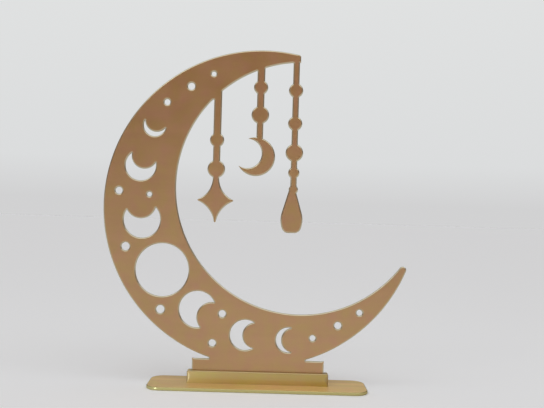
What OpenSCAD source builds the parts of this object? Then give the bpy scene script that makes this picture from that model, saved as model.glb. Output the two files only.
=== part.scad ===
// A pierced crescent with three garlands hanging from its upper horn, all cut
// from one sheet. Its foot stands in a channel between two cheeks on a base plate.
// The origin is the middle of the base's underside. The crescent faces -Y.

/* [Sheet] */
// Thickness of the sheet that every piece is cut from
sheet_t = 3; // [2:0.1:4]
// Slack on each side of the foot in its channel
channel_gap = 0.1; // [0.05:0.05:0.3]

/* [Crescent] */
// Outer radius of the moon
moon_r = 140; // [125:1:155]
// Width of the crescent at its widest
belly_w = 68.3; // [62:0.1:74]
// How far the round bay breaks out past the moon's edge
mouth_d = 11.7; // [9:0.1:15]
// Direction in which the bay opens, in degrees above level
bay_turn = 27.4; // [24:0.2:31]
// Radius of the rounded end of the lower horn
horn_end_r = 3.2; // [2:0.1:4]
// How far the upper horn runs on past the last garland
horn_lip = 0.9; // [0.4:0.1:2]
// Radius of the upper horn's top corner
horn_corner_r = 2; // [1:0.1:3]
// How far left of the base's middle the moon's centre stands
moon_offset = 0.7; // [0:0.1:5]

/* [Moon phases] */
// Radius of the full moon
full_r = 23.5; // [20:0.1:26]
// Radius of the two broad crescents beside it
broad_r = 16.2; // [14:0.1:18]
// Radius of the shadow that cuts into each broad crescent
broad_shadow_r = 13.7; // [12:0.1:15]
// How far that shadow is shifted from the moon's middle
broad_shift = 14.7; // [13:0.1:16.5]
// Radius of the two middle crescents
middle_r = 13.5; // [12:0.1:15]
// Radius of the shadow that cuts into each middle crescent
middle_shadow_r = 11.5; // [10:0.1:13]
// How far that shadow is shifted from the moon's middle
middle_shift = 9; // [8:0.1:10]
// Radius of the thin crescent near the upper horn
young_r = 9.8; // [9:0.1:11]
// Radius of its shadow
young_shadow_r = 10.3; // [9.5:0.1:11]
// How far its shadow is shifted from the moon's middle
young_shift = 4.7; // [4.2:0.1:5.5]
// Radius of the thin crescent near the foot
old_r = 11.1; // [10:0.1:12.5]
// Radius of its shadow
old_shadow_r = 11.1; // [10.4:0.1:12]
// How far its shadow is shifted from the moon's middle
old_shift = 4.6; // [4.1:0.1:5.4]

/* [Dots] */
// Radius of the large dots
large_dot_r = 3.6; // [3:0.1:4.5]
// Radius of the medium dots
medium_dot_r = 3.1; // [2.5:0.1:4]
// Radius of the small dots
small_dot_r = 2.6; // [2:0.1:3.2]
// Radius of the tiny dots
tiny_dot_r = 2.1; // [1.5:0.1:2.6]

/* [Garlands] */
// Radius of the large beads
large_bead_r = 7.8; // [6.5:0.1:9]
// Radius of the small beads
small_bead_r = 6.3; // [5.4:0.1:7.2]
// Radius of the tiny bead
tiny_bead_r = 5; // [4.3:0.1:5.8]
// Radius of the collar over the drop
collar_r = 4.1; // [3.9:0.1:4.8]
// Radius of the hollow where a bead runs into its cord
bead_fillet_r = 1.4; // [0.8:0.1:2]
// Radius of the open corner where a cord leaves the horn
horn_fillet_r = 1.6; // [0.8:0.1:2.4]
// Radius of the tight corner on the cord's other side
horn_nick_r = 0.8; // [0.4:0.1:1.4]

/* [Star garland] */
// How far left of the moon's centre the star garland hangs
star_line_x = 41; // [37:0.5:45]
// Length from the horn's edge to the middle of the star
star_drop = 93.8; // [84:0.2:104]
// Width of the cord over the first bead
star_cord_w = 6.9; // [5.5:0.1:8]
// Width of the cord between the beads
star_mid_cord_w = 6.4; // [5:0.1:7.4]
// Width of the neck over the star
star_neck_w = 5.6; // [4.6:0.1:6.4]
// Half of the star's width
star_half_w = 15.8; // [14.5:0.1:18]
// Height of the star below its middle
star_point_h = 19.5; // [18:0.1:22]
// Radius of the star's blunt points
star_tip_r = 0.8; // [0.4:0.1:1.2]
// Radius of the hollow sides under the star's side points
star_lower_r = 25; // [22:0.2:28]
// Radius of the hollow sides over the star's side points
star_upper_r = 21; // [18:0.2:24]

/* [Moon garland] */
// How far left of the moon's centre the moon garland hangs
moon_line_x = 3.3; // [0:0.5:7]
// Length from the horn's edge to the middle of the little moon
moon_drop = 77.5; // [70:0.5:85]
// Width of the cord over the first bead
moon_cord_w = 6.8; // [5.5:0.1:8]
// Width of the cord between the beads
moon_mid_cord_w = 6.4; // [5:0.1:7.4]
// Width of the cord over the little moon
moon_neck_w = 5.8; // [4.6:0.1:6.6]
// Radius of the little moon
little_moon_r = 17.2; // [15.5:0.1:19]
// Radius of its bay
little_bay_r = 13.1; // [12:0.1:14]
// How far the bay is shifted from the little moon's middle
little_shift = 8.2; // [7.5:0.1:9]
// How far the little moon hangs to the left of its cord
little_offset = 3.1; // [2:0.1:4]

/* [Drop garland] */
// How far right of the moon's centre the drop garland hangs
drop_line_x = 27.8; // [24:0.5:31]
// Length from the horn's edge to the widest part of the drop
drop_drop = 139.4; // [128:0.2:150]
// Width of the cord
drop_cord_w = 5.6; // [4.6:0.1:6.6]
// Width of the drop at its widest
drop_w = 19.5; // [17:0.1:22]
// Height of the drop below its widest part
drop_base_h = 11.6; // [10.5:0.1:13]
// Radius of the drop's rounded flanks
drop_flank_r = 22; // [19:0.2:25]
// How far the drop hangs to the left of its cord
drop_offset = 0.9; // [0:0.1:1.2]
// Radius of the drop's lower corners
drop_corner_r = 6; // [5:0.1:7]

/* [Foot] */
// Width of the foot under the crescent
foot_w = 117; // [105:1:122]
// Height of the foot from the base to its top edge
foot_h = 21.3; // [18:0.1:25]
// How far the crescent's round edge dips below the foot's top edge
foot_sink = 5.7; // [4:0.1:8]
// Radius at the bottom of the notch between the crescent and the foot
notch_r = 0.6; // [0.3:0.1:1]

/* [Stand] */
// Width of the base plate
base_w = 193; // [175:1:210]
// Depth of the base plate
base_d = 48; // [40:1:60]
// Radius of the base plate's corners
base_corner_r = 12; // [6:0.5:18]
// Length of each cheek
cheek_w = 125; // [123:0.2:135]
// Height of each cheek
cheek_h = 11; // [8:0.5:14]
// Radius of each cheek's top corners
cheek_corner_r = 1.6; // [0.8:0.1:3]

/* [Hidden] */
$fn = 96;

// Overrun of cuts past the faces that they pass through
overrun = 1;
// How far each rounding bites past the lines that it joins, so that they cross cleanly
bite = 0.002;

// The bay that turns the disc into a crescent
bay_r = moon_r - (belly_w - mouth_d) / 2;
bay_shift = (belly_w + mouth_d) / 2;
bay = bay_shift * [cos(bay_turn), sin(bay_turn)];

// Height of the moon's centre over the underside of the base
foot_top_z = sheet_t + foot_h;
moon_z = foot_top_z + moon_r - foot_sink;

// The pierced phases, from the upper horn round to the foot: the direction of each
// from the moon's centre, how far it lies across the band from the bay to the rim,
// its radius, its shadow's radius and shift, and the direction of the shadow
phase_angles = [143.6, 161.9, 186.9, 213.3, 239.2, 264.3, 283.2];
phase_across_shares = [0.61, 0.56, 0.495, 0.465, 0.47, 0.515, 0.54];
phase_r = [young_r, middle_r, broad_r, full_r, broad_r, middle_r, old_r];
shadow_r = [
    young_shadow_r, middle_shadow_r, broad_shadow_r, 0, broad_shadow_r, middle_shadow_r,
    old_shadow_r
];
shadow_shift = [young_shift, middle_shift, broad_shift, 0, broad_shift, middle_shift, old_shift];
shadow_turns = [69.6, 69, 95, 0, -28.5, -2, 0.5];

// The dots between them, placed in the same way
dot_angles = [111, 121.4, 133.1, 174.4, 174.4, 197.2, 226.5, 251.5, 251.2, 293.1, 304.7, 314.8];
dot_across_shares = [0.56, 0.6, 0.69, 0.8, 0.375, 0.78, 0.8, 0.785, 0.335, 0.58, 0.48, 0.44];
dot_r = [
    tiny_dot_r, medium_dot_r, small_dot_r, medium_dot_r, tiny_dot_r, large_dot_r,
    large_dot_r, medium_dot_r, medium_dot_r, small_dot_r, medium_dot_r, small_dot_r
];

// Where the beads sit along each garland, as shares of its length, and their radii
star_bead_shares = [0.43, 0.704];
star_bead_r = [small_bead_r, large_bead_r];
star_cords = [star_cord_w, star_mid_cord_w, star_neck_w];
moon_bead_shares = [0.207, 0.522];
moon_bead_r = [small_bead_r, large_bead_r];
moon_cords = [moon_cord_w, moon_mid_cord_w, moon_neck_w];
drop_bead_shares = [0.177, 0.387, 0.573, 0.7, 0.807];
drop_bead_r = [small_bead_r, small_bead_r, large_bead_r, tiny_bead_r, collar_r];
drop_cords = [for (i = [0 : len(drop_bead_r)]) drop_cord_w];

// Direction in which the little moon's bay opens
little_turn = 161;

// The upper horn ends square, just past the last garland
horn_end_x = drop_line_x + drop_cord_w / 2 + horn_lip;

function unit(v) = v / norm(v);

// The edge of the bay, seen from the moon's centre in one direction
function bay_edge(angle) =
    let (off = angle - bay_turn)
    bay_shift * cos(off) + sqrt(pow(bay_r, 2) - pow(bay_shift * sin(off), 2));

// A place on the crescent's band: a direction, and a share of the way from bay to rim
function on_band(angle, share) =
    let (inner = bay_edge(angle))
    (inner + share * (moon_r - inner)) * [cos(angle), sin(angle)];

// Height of the horn's lower edge over the moon's centre, at a distance across
function horn_edge(x) = bay[1] + sqrt(pow(bay_r, 2) - pow(x - bay[0], 2));

// Centre of a circle of radius r through p and q, on the left of the way from p to q
function arc_centre(p, q, r) =
    let (half = (q - p) / 2, along = unit(half))
    (p + q) / 2 + sqrt(pow(r, 2) - pow(norm(half), 2)) * [-along[1], along[0]];

// The circle that rounds the lower horn touches both the moon's rim and the bay's edge
horn_round_run = moon_r - horn_end_r;
horn_round_off = acos(
    (pow(horn_round_run, 2) + pow(bay_shift, 2) - pow(bay_r + horn_end_r, 2))
    / (2 * horn_round_run * bay_shift)
);
horn_round = horn_round_run * [cos(bay_turn - horn_round_off), sin(bay_turn - horn_round_off)];

// Sheet cut to each of the outlines that follow, about its middle plane
module sheet() {
    for (i = [0 : $children - 1])
        linear_extrude(height = sheet_t, center = true) children(i);
}

// Stands sheet pieces upright, so that their outlines are drawn in X and Z
module upright(y) {
    translate([0, y, 0]) rotate([90, 0, 0]) children();
}

// What is cut off the lower horn, beyond the circle that rounds it
module lower_horn_end() {
    out = unit(horn_round);
    into_bay = unit(bay - horn_round);
    along = belly_w * [-out[1], out[0]];
    far = 2 * horn_end_r;
    polygon([
        horn_round,
        horn_round + far * out,
        horn_round + far * out + along,
        horn_round + far * into_bay + along,
        horn_round + far * into_bay
    ]);
}

// What is cut off the upper horn: all past its end, and its top corner
module upper_horn_end() {
    corner_x = horn_end_x - horn_corner_r;
    corner = [corner_x, sqrt(pow(moon_r - horn_corner_r, 2) - pow(corner_x, 2))];
    reach = horn_corner_r + overrun;
    translate([horn_end_x, 0]) square([moon_r, moon_r]);
    difference() {
        polygon([
            corner,
            corner + [reach, 0],
            corner + [reach, reach],
            corner + reach * unit(corner)
        ]);
        translate(corner) circle(horn_corner_r + bite);
    }
}

module crescent() {
    sheet() {
        difference() {
            circle(moon_r, $fn = 360);
            translate(bay) circle(bay_r, $fn = 360);
            lower_horn_end();
            upper_horn_end();
            piercings();
        }
        translate(horn_round) circle(horn_end_r + bite);
    }
}

// One lunar phase: a disc with its shadow taken away
module phase(r, dark_r, shift, turn) {
    difference() {
        circle(r);
        if (dark_r > 0) rotate(turn) translate([shift, 0]) circle(dark_r);
    }
}

module piercings() {
    for (i = [0 : len(phase_angles) - 1])
        translate(on_band(phase_angles[i], phase_across_shares[i]))
            phase(phase_r[i], shadow_r[i], shadow_shift[i], shadow_turns[i]);
    for (i = [0 : len(dot_angles) - 1])
        translate(on_band(dot_angles[i], dot_across_shares[i])) circle(dot_r[i]);
}

// The hollows that lead from a cord into a bead, on both sides and on one end
module bead_hollows(r, cord_w, way) {
    across = cord_w / 2 + bead_fillet_r - bite;
    along = sqrt(pow(r + bead_fillet_r - bite, 2) - pow(across, 2));
    difference() {
        polygon([[0, 0], [across, way * along], [-across, way * along]]);
        for (side = [-1, 1])
            translate([side * across, way * along]) circle(bead_fillet_r);
    }
}

// Cord and beads hanging from the horn's edge. The beads are spaced along the drop,
// and the last stretch of cord runs down to the end, which lies within the pendant
module garland(drop, end, bead_shares, bead_r, cords) {
    last = len(bead_r) - 1;
    root = cords[0];
    for (i = [0 : last + 1]) {
        top = i == 0 ? root : -bead_shares[i - 1] * drop;
        bottom = i > last ? -end : -bead_shares[i] * drop;
        sheet() translate([-cords[i] / 2, bottom]) square([cords[i], top - bottom]);
    }
    for (i = [0 : last])
        translate([0, -bead_shares[i] * drop, 0])
            sheet() {
                circle(bead_r[i]);
                bead_hollows(bead_r[i], cords[i], 1);
                bead_hollows(bead_r[i], cords[i + 1], -1);
            }
}

// The rounded corner of radius r between a cord and the horn's edge; side is -1 on the
// cord's left and 1 on its right
module horn_fillet(line_x, cord_w, side, r) {
    x = line_x + side * (cord_w / 2 + r - bite);
    centre = [x, bay[1] + sqrt(pow(bay_r - r + bite, 2) - pow(x - bay[0], 2))];
    difference() {
        polygon([
            centre,
            [line_x, centre[1]],
            [line_x, horn_edge(line_x) + overrun],
            centre + (r + overrun) * unit(centre - bay)
        ]);
        translate(centre) circle(r);
    }
}

// A four-pointed star about its middle. Its sides are hollow arcs that touch the blunt
// points, and the upper two run out into the sides of the cord
module star() {
    side_point = [star_tip_r - star_half_w, 0];
    low_point = [0, star_tip_r - star_point_h];
    lower = arc_centre(low_point, side_point, star_lower_r + star_tip_r);
    upper_x = bite - star_neck_w / 2 - star_upper_r;
    upper_z = sqrt(pow(star_upper_r + star_tip_r, 2) - pow(upper_x - side_point[0], 2));
    difference() {
        polygon([
            side_point,
            [upper_x, upper_z],
            [-upper_x, upper_z],
            [-side_point[0], 0],
            [-lower[0], lower[1]],
            low_point,
            lower
        ]);
        for (side = [-1, 1]) {
            translate([side * lower[0], lower[1]]) circle(star_lower_r);
            translate([side * upper_x, upper_z]) circle(star_upper_r);
        }
    }
}

module star_pendant() {
    sheet() {
        star();
        translate([star_tip_r - star_half_w, 0]) circle(star_tip_r + bite);
        translate([star_half_w - star_tip_r, 0]) circle(star_tip_r + bite);
        translate([0, star_tip_r - star_point_h]) circle(star_tip_r + bite);
    }
}

// The little moon, about its own middle
module little_moon() {
    difference() {
        circle(little_moon_r);
        rotate(little_turn) translate([little_shift, 0]) circle(little_bay_r);
    }
}

// A drop about its widest place: round flanks, a flattened round bottom, and straight
// sides that run up from the flanks to the collar
module drop_pendant() {
    flank_x = drop_flank_r - drop_w / 2;
    collar_h = (1 - drop_bead_shares[len(drop_bead_shares) - 1]) * drop_drop;
    from_flank = [flank_x + drop_cord_w / 2, collar_h];
    side_r = drop_flank_r - bite;
    side_turn = atan2(from_flank[1], from_flank[0]) - acos(side_r / norm(from_flank));
    side_low = side_r * [cos(side_turn), sin(side_turn)] - [flank_x, 0];
    corner_z = drop_corner_r - drop_base_h;
    corner_x = sqrt(pow(drop_flank_r - drop_corner_r, 2) - pow(corner_z, 2)) - flank_x;
    flank_low = corner_z * drop_flank_r / (drop_flank_r - drop_corner_r);
    sheet() {
        intersection() {
            translate([-flank_x, 0]) circle(drop_flank_r);
            translate([flank_x, 0]) circle(drop_flank_r);
            translate([-drop_w, flank_low]) square([2 * drop_w, collar_h]);
        }
        translate([-corner_x, corner_z]) circle(drop_corner_r + bite);
        translate([corner_x, corner_z]) circle(drop_corner_r + bite);
        translate([-corner_x, -drop_base_h]) square([2 * corner_x, drop_base_h]);
        polygon([
            side_low,
            [drop_cord_w / 2, collar_h],
            [-drop_cord_w / 2, collar_h],
            [-side_low[0], side_low[1]]
        ]);
    }
}

// The small rounding at the bottom of the notch between crescent and foot, on one side
module notch_fillet(side) {
    down = moon_r - foot_sink - notch_r + bite;
    from_moon = [side * sqrt(pow(moon_r + notch_r - bite, 2) - pow(down, 2)), -down];
    centre = from_moon + [-moon_offset, moon_z];
    difference() {
        polygon([
            centre,
            centre - [0, notch_r + overrun],
            [-moon_offset, foot_top_z - overrun],
            centre - (notch_r + overrun) * unit(from_moon)
        ]);
        translate(centre) circle(notch_r);
    }
}

module foot() {
    sheet() {
        translate([-foot_w / 2, sheet_t]) square([foot_w, foot_h]);
        notch_fillet(-1);
        notch_fillet(1);
    }
}

module star_garland() {
    garland(star_drop, star_drop, star_bead_shares, star_bead_r, star_cords);
    translate([0, -star_drop, 0]) star_pendant();
}

// The cord runs half-way into the little moon's thickness
module moon_garland() {
    rim_h = sqrt(pow(little_moon_r, 2) - pow(little_offset, 2));
    little_bay = little_shift * [cos(little_turn), sin(little_turn)];
    hollow_h = little_bay[1] + sqrt(pow(little_bay_r, 2) - pow(little_offset - little_bay[0], 2));
    garland(moon_drop, moon_drop - (rim_h + hollow_h) / 2, moon_bead_shares, moon_bead_r, moon_cords);
    translate([-little_offset, -moon_drop, 0]) sheet() little_moon();
}

module drop_garland() {
    garland(drop_drop, drop_drop, drop_bead_shares, drop_bead_r, drop_cords);
    translate([-drop_offset, -drop_drop, 0]) drop_pendant();
}

// The three garlands, and the rounded corners where their cords leave the horn
module garlands() {
    translate([-star_line_x, horn_edge(-star_line_x), 0]) star_garland();
    translate([-moon_line_x, horn_edge(-moon_line_x), 0]) moon_garland();
    translate([drop_line_x, horn_edge(drop_line_x), 0]) drop_garland();
    sheet() {
        horn_fillet(-star_line_x, star_cord_w, -1, horn_nick_r);
        horn_fillet(-star_line_x, star_cord_w, 1, horn_fillet_r);
        horn_fillet(-moon_line_x, moon_cord_w, -1, horn_nick_r);
        horn_fillet(-moon_line_x, moon_cord_w, 1, horn_fillet_r);
        horn_fillet(drop_line_x, drop_cord_w, -1, horn_nick_r);
    }
}

module crescent_panel() {
    color([0.60, 0.45, 0.27])
        upright(0) {
            translate([-moon_offset, moon_z, 0]) {
                crescent();
                garlands();
            }
            foot();
        }
}

// A cheek: a strip with rounded top corners, standing on the base
module cheek(side) {
    run = cheek_w / 2 - cheek_corner_r;
    color([0.66, 0.54, 0.32])
        upright(side * (sheet_t + channel_gap))
            translate([0, sheet_t, 0])
                sheet() {
                    translate([-cheek_w / 2, 0]) square([cheek_w, cheek_h - cheek_corner_r]);
                    translate([-run, 0]) square([2 * run, cheek_h]);
                    translate([-run, cheek_h - cheek_corner_r]) circle(cheek_corner_r);
                    translate([run, cheek_h - cheek_corner_r]) circle(cheek_corner_r);
                }
}

module front_cheek() {
    cheek(-1);
}

module rear_cheek() {
    cheek(1);
}

module base_plate() {
    run = [base_w / 2 - base_corner_r, base_d / 2 - base_corner_r];
    color([0.72, 0.61, 0.42])
        linear_extrude(height = sheet_t) {
            square([base_w, 2 * run[1]], center = true);
            square([2 * run[0], base_d], center = true);
            for (x = [-1, 1], y = [-1, 1])
                translate([x * run[0], y * run[1]]) circle(base_corner_r);
        }
}

base_plate();
front_cheek();
rear_cheek();
crescent_panel();
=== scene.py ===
"""Looks of a table ornament: a pierced crescent of gold sheet on a slim channel base.

Every piece of the ornament is cut from flat sheet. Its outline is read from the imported
CAD node as arcs and straight runs, and the sheet is then modelled again with softly
rounded edges, inside the space that the CAD node fills. Lengths are in metres. X runs to
the right, Z up, and the crescent faces -Y.
"""

import logging
import math
from collections.abc import Sequence
from dataclasses import dataclass
from enum import Enum

import bpy
import numpy as np
from mathutils import Matrix, Vector
from mathutils.geometry import delaunay_2d_cdt

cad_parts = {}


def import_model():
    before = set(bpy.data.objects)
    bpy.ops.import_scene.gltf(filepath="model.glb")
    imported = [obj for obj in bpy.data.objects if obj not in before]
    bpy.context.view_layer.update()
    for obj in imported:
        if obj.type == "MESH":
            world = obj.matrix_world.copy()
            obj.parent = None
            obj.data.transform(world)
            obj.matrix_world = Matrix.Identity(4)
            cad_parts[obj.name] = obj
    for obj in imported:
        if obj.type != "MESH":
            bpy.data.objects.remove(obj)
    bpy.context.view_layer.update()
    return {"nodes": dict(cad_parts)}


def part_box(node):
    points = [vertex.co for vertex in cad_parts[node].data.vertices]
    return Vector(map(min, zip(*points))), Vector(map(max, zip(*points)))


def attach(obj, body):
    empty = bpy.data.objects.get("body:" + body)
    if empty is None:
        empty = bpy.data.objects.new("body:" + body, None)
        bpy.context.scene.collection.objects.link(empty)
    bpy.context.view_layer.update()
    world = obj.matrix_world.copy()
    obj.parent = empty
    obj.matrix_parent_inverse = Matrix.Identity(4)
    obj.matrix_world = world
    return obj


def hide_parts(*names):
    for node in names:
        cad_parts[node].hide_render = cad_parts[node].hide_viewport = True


LOG = logging.getLogger("ornament")

Nodes = dict[str, bpy.types.Object]
Colour = tuple[float, float, float]
Point = tuple[float, float, float]
# A value between 0 and 1, and the colour that it gets
Stop = tuple[float, Colour]
# A bearing in degrees, and how bright or strong something is there
Level = tuple[float, float]
Socket = bpy.types.NodeSocket
# What an input takes: another node's output, or a plain value
Source = Socket | float | Colour

# Everything shorter than this counts as touching
TOUCH = 1e-6
# A turn sharper than this between two runs of an outline is a corner
CORNER_TURN = math.radians(12)
# Newton steps that are enough to fit a rounding into any corner
CORNER_STEPS = 8
# Places closer than this are one place when a cap is filled with triangles
MERGE = 1e-9
# Value of the attribute "rim" from which the rim has its full look
RIM_FULL = 0.5
# What a place is scaled by along streaks and strokes, which draws their noise out
LINE_STRETCH = 0.02


class Body(Enum):
    """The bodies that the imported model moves."""

    STAND = "stand"
    PANEL = "panel"


class Slot(Enum):
    """The record's material slots."""

    BASE = "base"
    CHEEK = "cheek"
    PANEL = "panel"


class Facing(Enum):
    """Which way a sheet's show face looks: its axes across, up and out of the face."""

    FRONT = ((1, 0, 0), (0, 0, 1), (0, -1, 0))
    REAR = ((-1, 0, 0), (0, 0, 1), (0, 1, 0))
    TOP = ((1, 0, 0), (0, 1, 0), (0, 0, 1))

    @property
    def axes(self) -> np.ndarray:
        """The three unit axes, one a row."""
        return np.array(self.value, float)


def ahead_of(heading: np.ndarray | float) -> np.ndarray:
    """Unit vectors along headings in radians."""
    return np.stack([np.cos(heading), np.sin(heading)], -1)


def left_of(heading: np.ndarray | float) -> np.ndarray:
    """Unit vectors a quarter turn to the left of headings in radians."""
    return np.stack([-np.sin(heading), np.cos(heading)], -1)


def turn_area(first: np.ndarray, second: np.ndarray, third: np.ndarray) -> np.ndarray:
    """Twice the area of triangles, positive where their corners turn left."""
    ahead, across = second - first, third - first
    return ahead[..., 0] * across[..., 1] - ahead[..., 1] * across[..., 0]


def wrapped(angle: float) -> float:
    """An angle brought between minus and plus half a turn."""
    return (angle + math.pi) % (2 * math.pi) - math.pi


@dataclass(frozen=True)
class Run:
    """One arc or straight run of an outline, with the sheet on its right.

    A place on it is the start plus a chord. After a length s along a run of bend k the
    chord is s times sinc(k s / 2) long, and it points half of the turn k s to the left of
    the heading at the start.
    """

    start: np.ndarray
    heading: float
    bend: float
    length: float

    @classmethod
    def through(cls, points: np.ndarray) -> "Run":
        """Fits a run to places on an arc or a line.

        The bend is four times the area of a triangle of three of the places, over the
        product of its sides.

        Args:
            points: places in order, one a row. A whole circle ends where it starts.

        Returns:
            The run from the first place to the last.
        """
        steps = np.diff(points, axis=0)
        chords = np.hypot(*steps.T)
        count = len(chords)
        bend = 0.0
        if count > 1:
            closed = math.dist(points[0], points[-1]) < TOUCH
            a, b, c = points[[0, count // 3, 2 * count // 3] if closed else [0, count // 2, count]]
            bend = 2 * turn_area(a, b, c) / (math.dist(a, b) * math.dist(b, c) * math.dist(c, a))
        arcs = 2 * np.arcsin(bend * chords / 2) / bend if bend else chords
        heading = math.atan2(steps[0, 1], steps[0, 0]) - bend * arcs[0] / 2
        return cls(points[0], heading, bend, float(arcs.sum()))

    def heading_at(self, along: np.ndarray | float) -> np.ndarray | float:
        """Heading, in radians, after a length along the run."""
        return self.heading + self.bend * along

    def at(self, along: np.ndarray | float) -> np.ndarray:
        """Finds places on the run, by the chord formula above.

        Args:
            along: lengths from the start.

        Returns:
            The places, one a row.
        """
        half_turn = self.bend * np.asarray(along, float) / 2
        chord = np.asarray(along * np.sinc(half_turn / math.pi))
        return self.start + chord[..., None] * ahead_of(self.heading + half_turn)

    def beside(self, along: float, offset: float) -> np.ndarray:
        """The place at an offset to the left of the run."""
        return self.at(along) + offset * left_of(self.heading_at(along))

    def between(self, first: float, last: float) -> "Run":
        """The stretch of the run between two lengths along it."""
        return Run(self.at(first), self.heading_at(first), self.bend, last - first)

    def turn_into(self, after: "Run") -> float:
        """The turn from this run's end into the next run's start, left being positive."""
        return wrapped(after.heading - self.heading_at(self.length))

    def steps(self, turn_step: float, longest_step: float) -> np.ndarray:
        """Lengths along the run of even samples, without its last point.

        Args:
            turn_step: the most that the heading turns from sample to sample, in radians.
            longest_step: the most that two samples lie apart.

        Returns:
            The lengths.
        """
        count = max(abs(self.bend) * self.length / turn_step, self.length / longest_step, 1)
        return np.arange(math.ceil(count)) * self.length / math.ceil(count)


def corner_cuts(before: Run, after: Run, radius: float) -> np.ndarray:
    """How much of each run a rounding of their corner takes.

    The rounding's centre is where the two runs' sideways copies, a radius away on the
    side that the corner turns to, meet. Newton steps move both ends there: a copy moves by
    one minus bend times offset for each step along its run.

    Args:
        before: the run that ends at the corner.
        after: the run that starts there.
        radius: radius of the rounding.

    Returns:
        The lengths taken off the first run's end and the second run's start.
    """
    turn = before.turn_into(after)
    offset = math.copysign(radius, turn)
    cuts = np.full(2, radius * math.tan(abs(turn) / 2))
    for _ in range(CORNER_STEPS):
        last, first = before.length - cuts[0], cuts[1]
        miss = before.beside(last, offset) - after.beside(first, offset)
        by_last = (before.bend * offset - 1) * ahead_of(before.heading_at(last))
        by_first = (after.bend * offset - 1) * ahead_of(after.heading_at(first))
        cuts = cuts - np.linalg.solve(np.stack([by_last, by_first], -1), miss)
    return cuts


def rounding(before: Run, after: Run, side: float, radius: float) -> Run:
    """The arc from the end of one run to the start of the next.

    Args:
        before: the run that the arc leaves.
        after: the run that it leads into.
        side: positive where the corner turns left.
        radius: radius of the arc.

    Returns:
        The arc. It turns by what is between the two headings, taken on the corner's side.
    """
    turn = before.turn_into(after)
    if turn * side < 0:
        turn += math.copysign(2 * math.pi, side)
    heading = before.heading_at(before.length)
    bend = math.copysign(1 / radius, side)
    return Run(before.at(before.length), heading, bend, turn / bend)


def rounded(runs: list[Run], radius: float) -> list[Run]:
    """A closed chain of runs with its corners rounded.

    Args:
        runs: the runs in order.
        radius: radius of each rounding.

    Returns:
        The runs, cut back where a corner was, with the roundings between them.
    """
    count = len(runs)
    following = [runs[(i + 1) % count] for i in range(count)]
    turns = [run.turn_into(after) for run, after in zip(runs, following)]
    corner = [abs(turn) > CORNER_TURN for turn in turns]
    cuts = [
        corner_cuts(run, after, radius) if sharp else np.zeros(2)
        for run, after, sharp in zip(runs, following, corner)
    ]
    trimmed = [run.between(cuts[i - 1][1], run.length - cuts[i][0]) for i, run in enumerate(runs)]
    chain = []
    for i, run in enumerate(trimmed):
        chain.append(run)
        if corner[i]:
            chain.append(rounding(run, trimmed[(i + 1) % count], turns[i], radius))
    return chain


@dataclass(frozen=True)
class Rim:
    """Samples around one closed outline: places, and the directions out of the sheet."""

    places: np.ndarray
    outward: np.ndarray

    @classmethod
    def around(cls, runs: list[Run], turn_step: float, longest_step: float) -> "Rim":
        """Samples a closed chain of runs.

        Where two runs meet, the direction out is the mean of theirs.

        Args:
            runs: the runs in order, each with the sheet on its right.
            turn_step: the most that the outline turns from sample to sample, in radians.
            longest_step: the most that two samples lie apart.

        Returns:
            The samples.
        """
        places, headings = [], []
        for i, run in enumerate(runs):
            along = run.steps(turn_step, longest_step)
            heading = run.heading_at(along)
            heading[0] -= runs[i - 1].turn_into(run) / 2
            places.append(run.at(along))
            headings.append(heading)
        return cls(np.concatenate(places), left_of(np.concatenate(headings)))


def chain_from(follow: np.ndarray, first: int) -> np.ndarray:
    """The closed chain that starts at one link.

    Each pass doubles the chain: the links found so far all jump ahead by its length, and
    the jump is then taken twice to double its own reach.

    Args:
        follow: for each link, the index of the one after it.
        first: the link to start from.

    Returns:
        The indices of the links in order, once round.
    """
    order, jump = np.array([first]), follow
    while order.size <= follow.size:
        order = np.concatenate([order, jump[order]])
        jump = jump[jump]
    return order[: 1 + int(np.flatnonzero(order[1:] == first)[0])]


def outline_runs(node: bpy.types.Object, facing: Facing) -> list[list[Run]]:
    """Reads a sheet's outline from its CAD mesh.

    The links of the outline are the edges that the side walls share with the show face.
    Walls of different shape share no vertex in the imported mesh, so a run of the outline
    ends where two links meet at one place but not at one vertex.

    Args:
        node: the CAD node, a flat sheet.
        facing: which way its show face looks.

    Returns:
        Closed chains of runs, each with the sheet on its right.
    """
    mesh = node.data
    mesh.calc_loop_triangles()
    corners = np.empty(3 * len(mesh.vertices))
    mesh.vertices.foreach_get("co", corners)
    triangles = np.empty(3 * len(mesh.loop_triangles), np.int32)
    mesh.loop_triangles.foreach_get("vertices", triangles)
    places = corners.reshape(-1, 3) @ facing.axes.T
    triangles = triangles.reshape(-1, 3)
    on_face = places[:, 2] > places[:, 2].max() - TOUCH
    turned = np.concatenate([np.roll(triangles, shift, axis=1) for shift in range(3)])
    shared = on_face[turned[:, 0]] & on_face[turned[:, 1]] & ~on_face[turned[:, 2]]
    link = turned[shared, :2]
    starts, ends = places[link[:, 0], :2], places[link[:, 1], :2]
    # Distances from every end to every start, between places taken as complex numbers
    apart = np.abs((ends @ [1, 1j])[:, None] - (starts @ [1, 1j])[None])
    follow = apart.argmin(axis=1)
    opens = np.ones(len(link), bool)
    opens[follow[link[:, 1] == link[follow, 0]]] = False
    chains, left = [], np.ones(len(link), bool)
    while left.any():
        openers = np.flatnonzero(left & opens)
        order = chain_from(follow, openers[0] if openers.size else np.flatnonzero(left)[0])
        left[order] = False
        parts = np.split(order, np.flatnonzero(opens[order])[1:])
        chains.append([Run.through(np.vstack([starts[p], ends[p[-1:]]])) for p in parts])
    return chains


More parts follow.
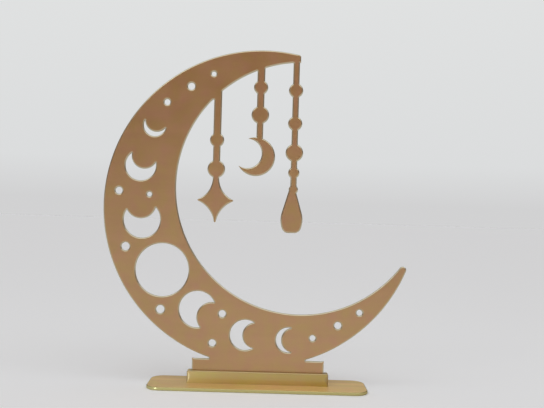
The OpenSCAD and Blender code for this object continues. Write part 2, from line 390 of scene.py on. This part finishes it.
def inscribed_radii(places: np.ndarray, outward: np.ndarray) -> np.ndarray:
    """Radius of the largest disc inside a sheet that touches its outline at each sample.

    A disc of radius r that touches at p passes through q where r is the square of the
    distance from p to q, over twice the depth of q behind the outline at p. The least such
    r over all q is the radius.

    Args:
        places: samples of all outlines of the sheet.
        outward: directions out of the sheet at them.

    Returns:
        The radii.
    """
    apart = places[None] - places[:, None]
    depth = -np.einsum("pqk,pk->pq", apart, outward)
    squared = np.einsum("pqk,pqk->pq", apart, apart)
    radii = np.full_like(depth, np.inf)
    np.divide(squared, 2 * depth, out=radii, where=depth > TOUCH)
    return radii.min(axis=1)


class Blend(Enum):
    """What a mix takes: its type, and the indices of its two inputs and its output."""

    VALUES = ("FLOAT", 2, 3, 0)
    COLOURS = ("RGBA", 6, 7, 2)


@dataclass(frozen=True)
class Grain:
    """Noise of one fineness, and which of its values count.

    Args:
        scale: waves a metre.
        detail: how many finer layers lie on them.
        low: value that counts as 0, as lower ones do.
        high: value that counts as 1, as higher ones do.
    """

    scale: float
    detail: float
    low: float = 0.3
    high: float = 0.7


class Graph:
    """A material's or the world's node tree, with short ways to add to it."""

    def __init__(self, tree: bpy.types.NodeTree) -> None:
        """Wraps the tree."""
        self.tree = tree

    def add(self, kind: str, **settings: object) -> bpy.types.Node:
        """Adds a node and sets its properties.

        Args:
            kind: type of the node.
            **settings: its properties by name.

        Returns:
            The node.
        """
        node = self.tree.nodes.new(kind)
        for key, value in settings.items():
            setattr(node, key, value)
        return node

    def link(self, source: Source, target: Socket) -> None:
        """Links a socket to an input, or sets the input to a plain value.

        Args:
            source: another node's output, a number or a colour.
            target: the input.
        """
        if isinstance(source, Socket):
            self.tree.links.new(source, target)
        elif isinstance(source, tuple) and len(source) == 3 and target.type == "RGBA":
            target.default_value = (*source, 1)
        else:
            target.default_value = source

    def noise(self, place: Socket, grain: Grain) -> Socket:
        """Adds noise.

        Args:
            place: where in the noise a point lies.
            grain: how fine the noise is.

        Returns:
            Its values as they come.
        """
        node = self.add("ShaderNodeTexNoise")
        self.link(place, node.inputs["Vector"])
        node.inputs["Scale"].default_value = grain.scale
        node.inputs["Detail"].default_value = grain.detail
        return node.outputs["Fac"]

    def grained(self, place: Socket, grain: Grain, least: float = 0, most: float = 1) -> Socket:
        """Noise whose values that count are drawn out from a least to a most."""
        return self.spread(self.noise(place, grain), grain.low, grain.high, least, most)

    def stretched(self, place: Socket, scale: Point) -> Socket:
        """Scales the axes of a place.

        Args:
            place: the place.
            scale: the factor of each axis.

        Returns:
            The scaled place.
        """
        node = self.add("ShaderNodeMapping")
        self.link(place, node.inputs["Vector"])
        node.inputs["Scale"].default_value = scale
        return node.outputs["Vector"]

    def spread(self, value: Socket, low: float, high: float, least: float, most: float) -> Socket:
        """Maps a range of values to another, held at its ends.

        Args:
            value: the value.
            low: value that becomes the least.
            high: value that becomes the most.
            least: start of the new range.
            most: end of the new range.

        Returns:
            The mapped value.
        """
        node = self.add("ShaderNodeMapRange")
        ends = {"From Min": low, "From Max": high, "To Min": least, "To Max": most}
        for key, number in ends.items():
            node.inputs[key].default_value = number
        self.link(value, node.inputs["Value"])
        return node.outputs["Result"]

    def mixed(
        self, share: Socket, first: Source, second: Source, blend: Blend = Blend.COLOURS
    ) -> Socket:
        """Mixes two colours or two values by a share.

        Args:
            share: 0 for the first, 1 for the second.
            first: a colour or a value.
            second: another of the same kind.
            blend: which kind they are.

        Returns:
            The mix.
        """
        kind, first_input, second_input, output = blend.value
        node = self.add("ShaderNodeMix", data_type=kind)
        for source, index in ((share, 0), (first, first_input), (second, second_input)):
            self.link(source, node.inputs[index])
        return node.outputs[output]

    def shaded(self, colour: Socket, factor: Socket) -> Socket:
        """Makes a colour lighter or darker.

        Args:
            colour: the colour.
            factor: what it is multiplied by.

        Returns:
            The product.
        """
        node = self.add("ShaderNodeVectorMath", operation="SCALE")
        self.link(colour, node.inputs[0])
        self.link(factor, node.inputs["Scale"])
        return node.outputs["Vector"]

    def multiplied(self, first: Source, second: Source) -> Socket:
        """Multiplies two colours, part by part.

        Args:
            first: one colour.
            second: the other.

        Returns:
            The product.
        """
        node = self.add("ShaderNodeVectorMath", operation="MULTIPLY")
        self.link(first, node.inputs[0])
        self.link(second, node.inputs[1])
        return node.outputs["Vector"]

    def ramp(self, value: Socket, stops: Sequence[Stop]) -> Socket:
        """Colours a value by stops.

        Args:
            value: the value.
            stops: values between 0 and 1, in order, and their colours.

        Returns:
            The colour, mixed evenly between stops.
        """
        node = self.add("ShaderNodeValToRGB")
        self.link(value, node.inputs[0])
        elements = node.color_ramp.elements
        for element, (place, colour) in zip(elements, (stops[0], stops[-1])):
            element.position, element.color = place, (*colour, 1)
        for place, colour in stops[1:-1]:
            elements.new(place).color = (*colour, 1)
        return node.outputs["Color"]

    def math(self, operation: str, *values: Source) -> Socket:
        """Does a sum on values.

        Args:
            operation: which one.
            *values: what it is done on.

        Returns:
            The result.
        """
        node = self.add("ShaderNodeMath", operation=operation)
        for value, target in zip(values, node.inputs):
            self.link(value, target)
        return node.outputs["Value"]

    def bumped(self, height: Socket, depth: float, normal: Socket | None = None) -> Socket:
        """Tilts a normal by a relief.

        Args:
            height: height of the relief, from 0 to 1.
            depth: what a height of 1 is in metres.
            normal: the normal under the relief, if it isn't the mesh's own.

        Returns:
            The tilted normal.
        """
        node = self.add("ShaderNodeBump")
        node.inputs["Distance"].default_value = depth
        self.link(height, node.inputs["Height"])
        if normal is not None:
            self.link(normal, node.inputs["Normal"])
        return node.outputs["Normal"]


@dataclass(frozen=True)
class GoldFinish:
    """Glossy gold sheet: metal flake under a clear skin, with cut rims.

    Args:
        name: name of the material.
        tone: colour of the faces.
        warm_tone: the colour that the faces drift towards in broad clouds.
        rim_tone: colour of the cut rims.
        metallic: share of metal flake in the colour layer.
        roughness: how blurred the flake layer's reflections are.
        smudge: how much handling adds to that in patches.
        rim_metallic: share of metal flake on the rims.
        rim_roughness: how blurred the reflections are on the rims.
        olive: tint of the olive patches of the mottling.
        rosy: tint of its rosy patches.
        streak: how much lighter or darker the long streaks of the rolled sheet are.
        sparkle: how much lighter or darker single flakes are.
        edge_tint: tint of reflections at a glancing angle.
        coat: weight of the clear skin.
        coat_roughness: how blurred the clear skin's reflections are.
        ripple_depth: depth of the fine ripple in the skin.
        stroke_depth: depth of the cutter's strokes across the rims.
        clouds: grain of the clouds.
        mottle: grain of the mottling.
        streaks: grain of the streaks, before they are drawn out.
        flake: grain of the flakes.
        smudges: grain of the patches of handling.
        ripple: grain of the ripple.
        strokes: grain of the strokes, before they are drawn out.
    """

    name: str
    tone: Colour
    warm_tone: Colour
    rim_tone: Colour
    metallic: float = 0.9
    roughness: float = 0.34
    smudge: float = 0.07
    rim_metallic: float = 0.9
    rim_roughness: float = 0.32
    olive: Colour = (0.985, 1.045, 0.92)
    rosy: Colour = (1.015, 0.955, 1.08)
    streak: float = 0.02
    sparkle: float = 0.07
    edge_tint: Colour = (1, 1, 1)
    coat: float = 0.25
    coat_roughness: float = 0.08
    ripple_depth: float = 6e-6
    stroke_depth: float = 1.2e-5
    clouds: Grain = Grain(scale=11, detail=2, low=0.35, high=0.65)
    mottle: Grain = Grain(scale=85, detail=3)
    streaks: Grain = Grain(scale=140, detail=2)
    flake: Grain = Grain(scale=2600, detail=1)
    smudges: Grain = Grain(scale=42, detail=3, low=0.35)
    ripple: Grain = Grain(scale=620, detail=2)
    strokes: Grain = Grain(scale=1900, detail=2)

    def material(self, facing: Facing) -> bpy.types.Material:
        """Builds the node material, or returns it if it is there already.

        Args:
            facing: which way the sheet's face looks.

        Returns:
            The material.
        """
        found = bpy.data.materials.get(self.name)
        if found:
            return found
        material = bpy.data.materials.new(self.name)
        material.use_nodes = True
        graph = Graph(material.node_tree)
        place = graph.add("ShaderNodeTexCoord").outputs["Object"]
        rim = graph.add("ShaderNodeAttribute", attribute_name="rim").outputs["Fac"]
        rim = graph.spread(rim, 0, RIM_FULL, 0, 1)
        rough = graph.grained(place, self.smudges, self.roughness, self.roughness + self.smudge)
        rough = graph.mixed(rim, rough, self.rim_roughness, Blend.VALUES)

        shader = material.node_tree.nodes["Principled BSDF"]
        shader.inputs["Specular Tint"].default_value = (*self.edge_tint, 1)
        shader.inputs["Coat Weight"].default_value = self.coat
        shader.inputs["Coat Roughness"].default_value = self.coat_roughness
        shader.inputs["Metallic"].default_value = self.metallic
        if self.rim_metallic != self.metallic:
            flake_share = graph.mixed(rim, self.metallic, self.rim_metallic, Blend.VALUES)
            graph.link(flake_share, shader.inputs["Metallic"])
        graph.link(self.colour(graph, place, rim), shader.inputs["Base Color"])
        graph.link(rough, shader.inputs["Roughness"])
        graph.link(self.relief(graph, place, rim, facing), shader.inputs["Normal"])
        return material

    def colour(self, graph: Graph, place: Socket, rim: Socket) -> Socket:
        """Colours the faces with clouds, mottling, streaks and flakes, and the rims plainly.

        Args:
            graph: the material's nodes.
            place: where a point lies on the piece.
            rim: how much of a cut rim a point is.

        Returns:
            The colour.
        """
        clouds = graph.grained(place, self.clouds)
        mottle = graph.grained(place, self.mottle)
        rolled = graph.stretched(place, (LINE_STRETCH, 1, 1))
        streaks = graph.grained(rolled, self.streaks, 1 - self.streak, 1 + self.streak)
        flakes = graph.grained(place, self.flake, 1 - self.sparkle, 1 + self.sparkle)
        base = graph.mixed(clouds, self.tone, self.warm_tone)
        tinted = graph.multiplied(base, graph.mixed(mottle, self.olive, self.rosy))
        face = graph.shaded(tinted, graph.math("MULTIPLY", streaks, flakes))
        return graph.mixed(rim, face, self.rim_tone)

    def relief(self, graph: Graph, place: Socket, rim: Socket, facing: Facing) -> Socket:
        """Ripples the skin, and runs the cutter's strokes across the rims.

        Args:
            graph: the material's nodes.
            place: where a point lies on the piece.
            rim: how much of a cut rim a point is.
            facing: which way the sheet's face looks, which is the way the strokes run.

        Returns:
            The normal.
        """
        skin = graph.bumped(graph.noise(place, self.ripple), self.ripple_depth)
        along_stroke = tuple(1 - (1 - LINE_STRETCH) * abs(part) for part in facing.axes[2])
        strokes = graph.noise(graph.stretched(place, along_stroke), self.strokes)
        return graph.bumped(graph.math("MULTIPLY", strokes, rim), self.stroke_depth, skin)


@dataclass
class CutSheet:
    """A piece cut from sheet, with softly rounded edges.

    Args:
        node: name of the CAD node that the piece stands for.
        name: name of the piece.
        body: the body that it rides on.
        slot: the material slot of the piece; not used.
        finish: the finish.
        edge_r: radius of the rounded edges.
        facing: which way its show face looks.
        seat_r: radius of the edges that rest on the piece below, if not edge_r.
        back_r: the most that the radius is on the far side from the show face.
        end_reach: how many times its radius the rounding reaches in from the two ends.
        corner_r: radius left by the cutter in the outline's corners.
        room_share: the most of the room inside the outline that a rounded edge takes.
        turn_step: the most that the outline turns between samples, in radians.
        longest_step: the most that samples lie apart.
        edge_steps: steps round each edge.
    """

    node: str
    name: str
    body: Body
    slot: Slot
    finish: GoldFinish
    edge_r: float
    facing: Facing = Facing.FRONT
    seat_r: float | None = None
    back_r: float = math.inf
    end_reach: float = 1
    corner_r: float = 0.00012
    room_share: float = 0.6
    turn_step: float = math.radians(5)
    longest_step: float = 0.0025
    edge_steps: int = 6

    def build(self, nodes: Nodes) -> bpy.types.Object:
        """Makes the piece, dresses it and sets it on its body.

        Args:
            nodes: the CAD nodes by name.

        Returns:
            The piece.
        """
        chains = outline_runs(nodes[self.node], self.facing)
        softened = [rounded(chain, self.corner_r) for chain in chains]
        rims = [Rim.around(chain, self.turn_step, self.longest_step) for chain in softened]
        piece = bpy.data.objects.new(self.name, self.mesh(rims))
        bpy.context.scene.collection.objects.link(piece)
        piece.data.materials.append(self.finish.material(self.facing))
        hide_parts(self.node)
        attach(piece, self.body.value)
        return piece

    def mesh(self, rims: list[Rim]) -> bpy.types.Mesh:
        """Makes the closed mesh of the sheet from its sampled outlines.

        The rim is a grid of rings by samples. The angle a of a ring goes from 0 at the
        face to a quarter turn at the outline, and from there back to 0 at the far face.
        Flat triangles close the first ring and the last.

        Args:
            rims: the outlines.

        Returns:
            The mesh, with its exact normals and the attribute "rim", which is sin(a), so
            0 on the faces and 1 at the outline.
        """
        quarter = np.linspace(0, math.pi / 2, self.edge_steps + 1)
        angle = np.append(quarter, quarter[::-1])
        side = np.repeat([1, -1], self.edge_steps + 1)
        rings, normals = self.rings(rims, angle, side)

        last, count = len(angle) - 1, rings.shape[1]
        this, after = np.arange(count), self.next_samples(rims)
        ring = count * np.arange(last)[:, None]
        further = ring + count
        quads = np.stack([ring + this, ring + after, further + after, further + this], -1)
        front_cap, back_cap = (self.cap(rings[i, :, :2], after) for i in (0, last))
        back_cap = back_cap[:, ::-1] + count * last
        faces = quads.reshape(-1, 4).tolist() + front_cap.tolist() + back_cap.tolist()

        mesh = bpy.data.meshes.new(self.name)
        mesh.from_pydata(rings.reshape(-1, 3) @ self.facing.axes, [], faces)
        rim = mesh.attributes.new("rim", "FLOAT", "POINT")
        rim.data.foreach_set("value", np.repeat(np.sin(angle), count).astype(np.float32))
        mesh.shade_smooth()
        mesh.normals_split_custom_set_from_vertices(normals.reshape(-1, 3) @ self.facing.axes)
        return mesh

    def rings(
        self, rims: list[Rim], angle: np.ndarray, side: np.ndarray
    ) -> tuple[np.ndarray, np.ndarray]:
        """Works out the places and normals of the rings round the rim.

        The inset from the outline is the edge's width times one minus sin(a), and the
        depth below the face is its radius times one minus cos(a). The normal has sin(a)
        over the width outwards and cos(a) over the radius ahead.

        The radius goes over to the seat's as the outline turns to face down. The width is
        the radius, and more at the two ends, by the square of the sideways part of the
        direction out. Both stay within the back's radius behind and within their share of
        the room inside the outline, and nothing passes the CAD node's box.

        Args:
            rims: the outlines.
            angle: the angle a of each ring.
            side: 1 for the rings at the face and -1 for those at the far face.

        Returns:
            The places and the unit normals, each an array of rings by samples by axes.
        """
        places = np.concatenate([rim.places for rim in rims])
        outward = np.concatenate([rim.outward for rim in rims])
        low, high = np.sort(np.array(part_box(self.node)) @ self.facing.axes.T, axis=0)
        room = self.room_share * inscribed_radii(places, outward)
        radius = np.full(len(places), self.edge_r)
        if self.seat_r is not None:
            radius += np.clip(-outward[:, 1], 0, 1) * (self.seat_r - self.edge_r)
        reach = 1 + (self.end_reach - 1) * outward[:, 0] ** 2

        most = np.where(side > 0, math.inf, self.back_r)[:, None]
        edge = np.minimum(np.minimum(radius, room), most)
        wide = np.minimum(np.minimum(radius * reach, room), most)
        inset = (1 - np.sin(angle))[:, None] * wide
        depth = (1 - np.cos(angle))[:, None] * edge
        height = np.where(side[:, None] > 0, high[2] - depth, low[2] + depth)
        flat = np.clip(places - inset[..., None] * outward, low[:2], high[:2])
        out_part = np.sin(angle)[:, None] * edge
        ahead_part = (side * np.cos(angle))[:, None] * wide
        normals = np.concatenate([out_part[..., None] * outward, ahead_part[..., None]], -1)
        normals /= np.linalg.norm(normals, axis=-1, keepdims=True)
        return np.concatenate([flat, height[..., None]], -1), normals

    @staticmethod
    def next_samples(rims: list[Rim]) -> np.ndarray:
        """Finds the sample after each, round its own outline.

        Args:
            rims: the outlines.

        Returns:
            Its index, with the samples of all outlines in one list.
        """
        sizes = [len(rim.places) for rim in rims]
        starts = np.cumsum([0, *sizes[:-1]])
        rounds = [start + np.roll(np.arange(size), -1) for start, size in zip(starts, sizes)]
        return np.concatenate(rounds)

    @staticmethod
    def cap(places: np.ndarray, following: np.ndarray) -> np.ndarray:
        """Fills outlines with triangles, leaving the holes open.

        A triangle is kept where a ray from its middle crosses the outlines an odd number
        of times. The ray runs across, and it crosses an edge whose ends are above and
        below it and which has the middle on its left when it rises.

        Args:
            places: samples of the outlines.
            following: index of the sample after each.

        Returns:
            Triangles, three indices a row, anticlockwise.
        """
        edges = np.stack([np.arange(len(places)), following], -1)
        inside_only = 1
        found = delaunay_2d_cdt(
            [Vector(place) for place in places.tolist()], edges.tolist(), [], inside_only, MERGE
        )
        corners = np.array([ids[0] for ids in found[3]])[np.array(found[2])]
        middle = places[corners].mean(axis=1)[:, None]
        start, end = places[None], places[following][None]
        rises = end[..., 1] > start[..., 1]
        spans = (start[..., 1] > middle[..., 1]) != (end[..., 1] > middle[..., 1])
        crossed = spans & ((turn_area(start, end, middle) > 0) == rises)
        corners = corners[crossed.sum(axis=1) % 2 == 1]
        clockwise = turn_area(*(places[corners[:, i]] for i in range(3))) < 0
        return np.where(clockwise[:, None], corners[:, ::-1], corners)


@dataclass(frozen=True)
class Viewpoint:
    """The camera: a level view along +Y with a slight roll.

    Args:
        place: where it stands.
        yaw: turn to the right, in degrees.
        pitch: tilt upwards, in degrees.
        roll: degrees by which level lines run down to the right in its picture.
        lens: focal length in millimetres.
        sensor: width of the sensor in millimetres.
    """

    place: Point = (0.007756, -0.704174, 0.164472)
    yaw: float = 0.066
    pitch: float = -0.141
    roll: float = 1.625
    lens: float = 52.525
    sensor: float = 36

    def build(self) -> bpy.types.Object:
        """Adds the camera and makes it the scene's.

        Its right and up are level and upright, turned by the roll about the way ahead.

        Returns:
            The camera.
        """
        camera = bpy.data.cameras.new("camera")
        camera.lens = self.lens
        camera.sensor_fit = "HORIZONTAL"
        camera.sensor_width = self.sensor
        yaw, pitch, roll = (math.radians(angle) for angle in (self.yaw, self.pitch, self.roll))
        level = Vector((math.cos(yaw), -math.sin(yaw), 0))
        ahead = Vector((
            math.sin(yaw) * math.cos(pitch), math.cos(yaw) * math.cos(pitch), math.sin(pitch),
        ))
        upright = level.cross(ahead)
        right = math.cos(roll) * level + math.sin(roll) * upright
        up = math.cos(roll) * upright - math.sin(roll) * level
        seat = Matrix((right, up, -ahead)).transposed().to_4x4()
        seat.translation = self.place
        viewer = bpy.data.objects.new("camera", camera)
        bpy.context.scene.collection.objects.link(viewer)
        viewer.matrix_world = seat
        bpy.context.scene.camera = viewer
        return viewer


@dataclass(frozen=True)
class Softbox:
    """A square lamp aimed at the ornament's stand.

    Args:
        name: name of the lamp.
        place: where it hangs.
        size: length of its sides.
        power: its power in watts.
        tint: colour of its light.
    """

    name: str
    place: Point
    size: float
    power: float
    tint: Colour = (1, 1, 1)

    def build(self) -> bpy.types.Object:
        """Adds the lamp, turned so that it shines at the origin, and hides it from view.

        Returns:
            The lamp.
        """
        light = bpy.data.lights.new(self.name, "AREA")
        light.size = self.size
        light.energy = self.power
        light.color = self.tint
        lamp = bpy.data.objects.new(self.name, light)
        bpy.context.scene.collection.objects.link(lamp)
        lamp.location = self.place
        lamp.rotation_euler = Vector(self.place).to_track_quat("Z", "Y").to_euler()
        lamp.visible_camera = False
        return lamp


@dataclass(frozen=True)
class Studio:
    """The pale floor and backdrop, and the soft light of the room around them.

    Whichever way one looks, the backdrop is plain and pale. What the ornament mirrors is
    the room. Round the horizon its brightness follows the bearing, in degrees to the right
    of straight in front: it is brightest about there and dimmer at the sides, and the pale
    backdrop takes over behind. The walls grow dimmer and warmer with height, and the
    ceiling over them is bright in front and dim behind. Heights are the sine of the
    elevation.

    Args:
        floor_half: half of the floor's width.
        floor_tone: colour of the floor.
        floor_roughness: how dull the floor is.
        seen_tints: heights and the colour of the backdrop that one sees there.
        walls: bearings and how bright the walls are there.
        wall_tints: heights and the walls' tint there.
        backdrop: bearings and how much of the backdrop is mirrored there.
        backdrop_tints: heights and the mirrored backdrop's light there.
        ceiling_front: light of the ceiling in front of the ornament.
        ceiling_back: light of the ceiling behind it.
        ceiling_from: height at which the ceiling begins, and where it is full.
        ceiling_turn: how far back a direction points, from -1 to 1, where the front
            ceiling's light ends and where the back's is full.
        softboxes: the lamps.
        window: the low light on the left, which only the stand mirrors.
    """

    floor_half: float = 6
    floor_tone: Colour = (0.955, 0.965, 0.97)
    floor_roughness: float = 0.75
    seen_tints: tuple[Stop, ...] = (
        (0.0, (0.64, 0.64, 0.645)), (0.05, (0.71, 0.72, 0.725)), (0.25, (0.745, 0.755, 0.755)),
    )
    walls: tuple[Level, ...] = (
        (-150, 0.4), (-90, 0.3), (-78, 0.4), (-50, 0.4), (-38, 0.34), (-10, 0.45), (0, 0.56),
        (10, 0.64), (30, 0.5), (45, 0.24), (90, 0.3), (150, 0.4),
    )
    wall_tints: tuple[Stop, ...] = (
        (0.0, (1.05, 0.94, 0.86)), (0.06, (0.93, 0.72, 0.56)), (0.12, (0.58, 0.25, 0.10)),
        (0.3, (0.28, 0.10, 0.03)),
    )
    backdrop: tuple[Level, ...] = (
        (-180, 1), (-171, 1), (-163, 0.35), (-130, 0.25), (-100, 0), (100, 0), (130, 0.25),
        (163, 0.35), (171, 1), (180, 1),
    )
    backdrop_tints: tuple[Stop, ...] = (
        (0.0, (0.62, 0.63, 0.635)), (0.12, (0.56, 0.565, 0.57)), (0.3, (0.50, 0.505, 0.51)),
    )
    ceiling_front: Colour = (1.48, 1.50, 1.52)
    ceiling_back: Colour = (0.30, 0.31, 0.32)
    ceiling_from: tuple[float, float] = (0.4, 0.7)
    ceiling_turn: tuple[float, float] = (-0.5, 0.5)
    softboxes: tuple[Softbox, ...] = (
        Softbox("left_softbox", (-0.6, -0.45, 0.85), size=0.12, power=0.35),
        Softbox("right_softbox", (0.6, -0.4, 0.85), size=0.12, power=0.35),
    )
    window: Softbox = Softbox(
        "window", (-0.50, -0.68, 0.06), size=0.06, power=4.2, tint=(0.76, 0.93, 1.35)
    )

    def build(self) -> None:
        """Adds the floor, the world and the lamps, with plain colour management."""
        self.floor()
        self.room()
        for softbox in self.softboxes:
            softbox.build()
        bpy.context.scene.view_settings.view_transform = "Standard"

    def open_window(self, pieces: Sequence[bpy.types.Object]) -> bpy.types.Object:
        """Adds the low light on the left for some pieces alone.

        Args:
            pieces: the pieces that it lights.

        Returns:
            The lamp.
        """
        lamp = self.window.build()
        lit = bpy.data.collections.new("lit_by_window")
        for piece in pieces:
            lit.objects.link(piece)
        lamp.light_linking.receiver_collection = lit
        return lamp

    def floor(self) -> bpy.types.Object:
        """Adds the floor, a flat square at the height of the base's underside.

        Returns:
            The floor.
        """
        half = self.floor_half
        across, deep = np.meshgrid([-half, half], [-half, half])
        corners = np.stack([across, deep, np.zeros_like(across)], -1).reshape(-1, 3)
        mesh = bpy.data.meshes.new("floor")
        mesh.from_pydata(corners, [], [(0, 1, 3, 2)])
        material = bpy.data.materials.new("pale_floor")
        material.use_nodes = True
        shader = material.node_tree.nodes["Principled BSDF"]
        shader.inputs["Base Color"].default_value = (*self.floor_tone, 1)
        shader.inputs["Roughness"].default_value = self.floor_roughness
        shader.inputs["Specular IOR Level"].default_value = 0
        mesh.materials.append(material)
        floor = bpy.data.objects.new("floor", mesh)
        bpy.context.scene.collection.objects.link(floor)
        return floor

    def room(self) -> None:
        """Lights the room by the bearing and the height of each direction."""
        world = bpy.data.worlds.new("room")
        world.use_nodes = True
        bpy.context.scene.world = world
        graph = Graph(world.node_tree)
        split = graph.add("ShaderNodeSeparateXYZ")
        graph.link(graph.add("ShaderNodeTexCoord").outputs["Generated"], split.inputs[0])
        across, behind, height = split.outputs
        bearing = graph.math("ARCTAN2", across, graph.math("MULTIPLY", behind, -1.0))
        turn = graph.spread(bearing, -math.pi, math.pi, 0, 1)
        wall = self.by_bearing(graph, turn, self.walls)
        walls = graph.multiplied(wall, graph.ramp(height, self.wall_tints))
        share = self.by_bearing(graph, turn, self.backdrop)
        horizon = graph.mixed(share, walls, graph.ramp(height, self.backdrop_tints))
        depth = graph.spread(behind, *self.ceiling_turn, 0, 1)
        ceiling = graph.mixed(depth, self.ceiling_front, self.ceiling_back)
        above = graph.spread(height, *self.ceiling_from, 0, 1)
        mirrored = graph.mixed(above, horizon, ceiling)
        seen = graph.add("ShaderNodeLightPath").outputs["Is Camera Ray"]
        light = graph.mixed(seen, mirrored, graph.ramp(height, self.seen_tints))
        graph.link(light, world.node_tree.nodes["Background"].inputs["Color"])

    @staticmethod
    def by_bearing(graph: Graph, turn: Socket, levels: Sequence[Level]) -> Socket:
        """Greys by bearing, for a turn that goes from 0 to 1 from behind round to behind."""
        return graph.ramp(turn, [(0.5 + bearing / 360, (grey,) * 3) for bearing, grey in levels])


@dataclass
class Stand:
    """The stand: a flat base plate with two upright cheeks cemented on it.

    Args:
        base_edge_r: radius of the base plate's rounded edges.
        cheek_edge_r: radius of the cheeks' rounded edges.
        cheek_end_reach: how many times that radius their ends are rounded inwards.
        cheek_room_share: the most of the room inside their outline that an edge takes.
        seat_r: radius of the cheeks' edges that are cemented to the base plate.
        channel_r: radius of the cheeks' edges along the channel.
        base_finish: finish of the base plate.
        cheek_finish: finish of the cheeks.
    """

    base_edge_r: float = 0.0011
    cheek_edge_r: float = 0.0014
    cheek_end_reach: float = 2.6
    cheek_room_share: float = 0.85
    seat_r: float = 0.00015
    channel_r: float = 0.0003
    base_finish: GoldFinish = GoldFinish(
        "base_gold", tone=(0.72, 0.483, 0.182), warm_tone=(0.75, 0.503, 0.192),
        rim_tone=(0.46, 0.40, 0.155), metallic=0.3, roughness=0.45, rim_metallic=0.5,
        rim_roughness=0.22, streak=0.12, edge_tint=(0.35, 0.24, 0.12),
    )
    cheek_finish: GoldFinish = GoldFinish(
        "cheek_gold", tone=(0.50, 0.367, 0.112), warm_tone=(0.525, 0.386, 0.121),
        rim_tone=(0.39, 0.285, 0.105), metallic=0.95, roughness=0.35, rim_metallic=0.6,
        rim_roughness=0.35, coat=1.0, coat_roughness=0.05,
    )

    def build(self, nodes: Nodes) -> list[bpy.types.Object]:
        """Builds the base plate and both cheeks from their CAD nodes."""
        front, rear = (self.cheek(facing, nodes) for facing in (Facing.FRONT, Facing.REAR))
        return [self.base(nodes), front, rear]

    def base(self, nodes: Nodes) -> bpy.types.Object:
        """Builds the base plate.

        Args:
            nodes: the CAD nodes by name.

        Returns:
            The piece.
        """
        sheet = CutSheet(
            "base_plate", "base", Body.STAND, Slot.BASE, self.base_finish, self.base_edge_r,
            Facing.TOP,
        )
        return sheet.build(nodes)

    def cheek(self, facing: Facing, nodes: Nodes) -> bpy.types.Object:
        """Builds one cheek.

        Args:
            facing: which way its show face looks, to the front or the rear.
            nodes: the CAD nodes by name.

        Returns:
            The piece.
        """
        node = f"{facing.name.lower()}_cheek"
        sheet = CutSheet(
            node, f"{node}_strip", Body.STAND, Slot.CHEEK, self.cheek_finish, self.cheek_edge_r,
            facing, seat_r=self.seat_r, back_r=self.channel_r, end_reach=self.cheek_end_reach,
            room_share=self.cheek_room_share,
        )
        return sheet.build(nodes)


@dataclass
class CrescentPanel:
    """The pierced crescent with its garlands and its foot, one sheet.

    Args:
        edge_r: radius of its rounded edges.
        finish: its finish.
    """

    edge_r: float = 0.00145
    finish: GoldFinish = GoldFinish(
        "panel_gold", tone=(0.585, 0.37, 0.19), warm_tone=(0.625, 0.40, 0.205),
        rim_tone=(0.60, 0.54, 0.37), edge_tint=(0.8, 0.75, 0.6),
    )

    def build(self, nodes: Nodes) -> list[bpy.types.Object]:
        """Builds the panel.

        Args:
            nodes: the CAD nodes by name.

        Returns:
            The piece, in a list.
        """
        sheet = CutSheet(
            "crescent_panel", "crescent", Body.PANEL, Slot.PANEL, self.finish, self.edge_r
        )
        return [sheet.build(nodes)]


def main() -> None:
    """Builds the camera, the studio and every piece of the ornament."""
    logging.basicConfig(level=logging.INFO, format="%(message)s")
    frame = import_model()
    Viewpoint().build()
    studio = Studio()
    studio.build()

    stand = Stand().build(frame["nodes"])
    panel = CrescentPanel().build(frame["nodes"])
    for piece in (*stand, *panel):
        LOG.info("%s: %d faces", piece.name, len(piece.data.polygons))
    studio.open_window(stand)


if __name__ == "__main__":
    main()
